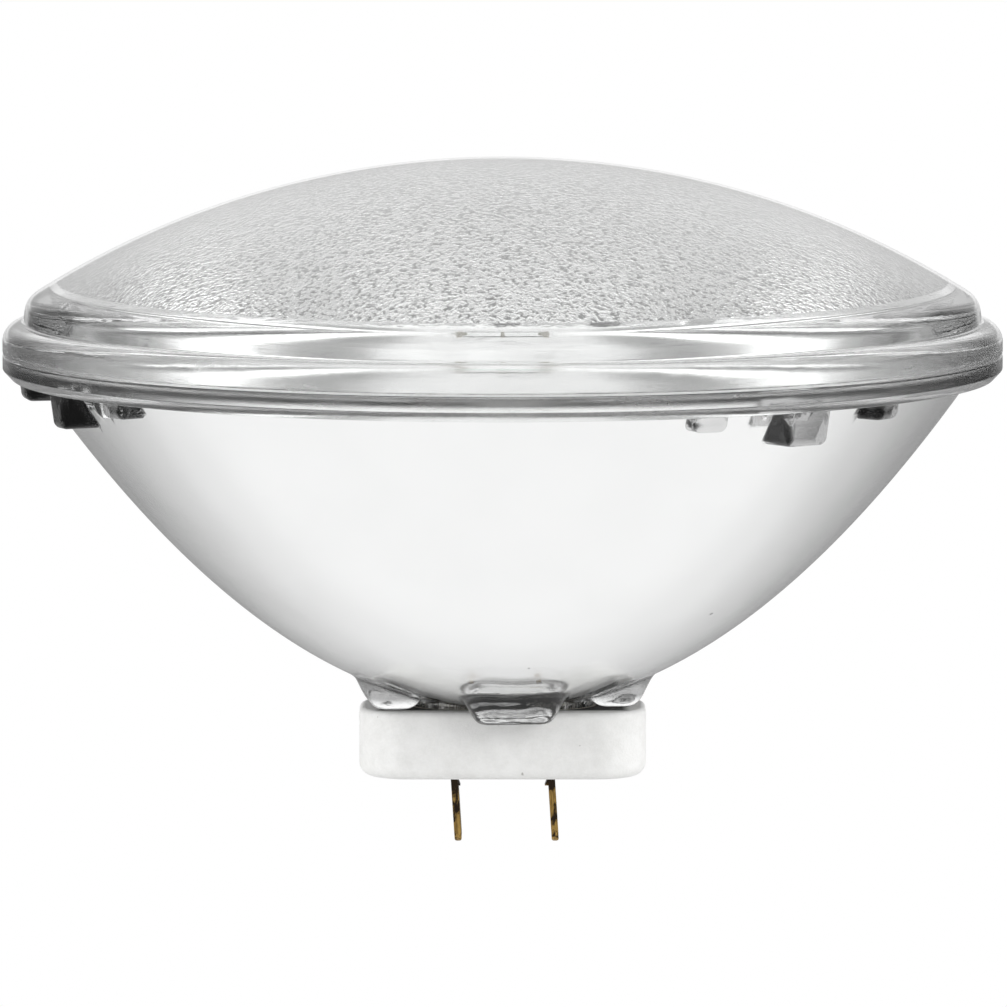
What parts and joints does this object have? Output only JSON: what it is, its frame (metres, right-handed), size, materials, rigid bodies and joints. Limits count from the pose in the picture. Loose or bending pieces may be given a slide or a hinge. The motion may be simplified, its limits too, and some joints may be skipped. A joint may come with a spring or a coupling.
{
  "type": "sealed reflector spotlight lamp",
  "caption": "Round sealed reflector lamp: stippled glass lens fused to a silvered glass bowl, with a ceramic base and flat contact blades for a spotlight housing.",
  "frame": {"origin": "centre of the rim, on the fused seam between the lens and the reflector bowl", "axes": "+Z out through the lens along the beam, X along the long side of the ceramic base and the row of contact blades, -Y towards the pictured front"},
  "size_m": [0.178, 0.178, 0.1221],
  "materials": {
    "lens_glass": "gloss",
    "silvered_glass": "gloss",
    "white_ceramic": "matte",
    "base_cement": "matte",
    "tarnished_brass": "satin",
    "nickel": "satin",
    "tungsten": "satin",
    "bead_glass": "gloss"
  },
  "bodies": {
    "root": {"lens": "lens_glass", "reflector": "silvered_glass", "ceramic_base": "white_ceramic", "base_cement": "base_cement", "contact_blade_left": "tarnished_brass", "contact_blade_right": "tarnished_brass", "ferrule_left": "nickel", "ferrule_right": "nickel", "lead_rod_left": "nickel", "lead_rod_right": "nickel", "bridge_bead": "bead_glass", "filament_support": "nickel", "filament": "tungsten"}
  },
  "joints": []
}
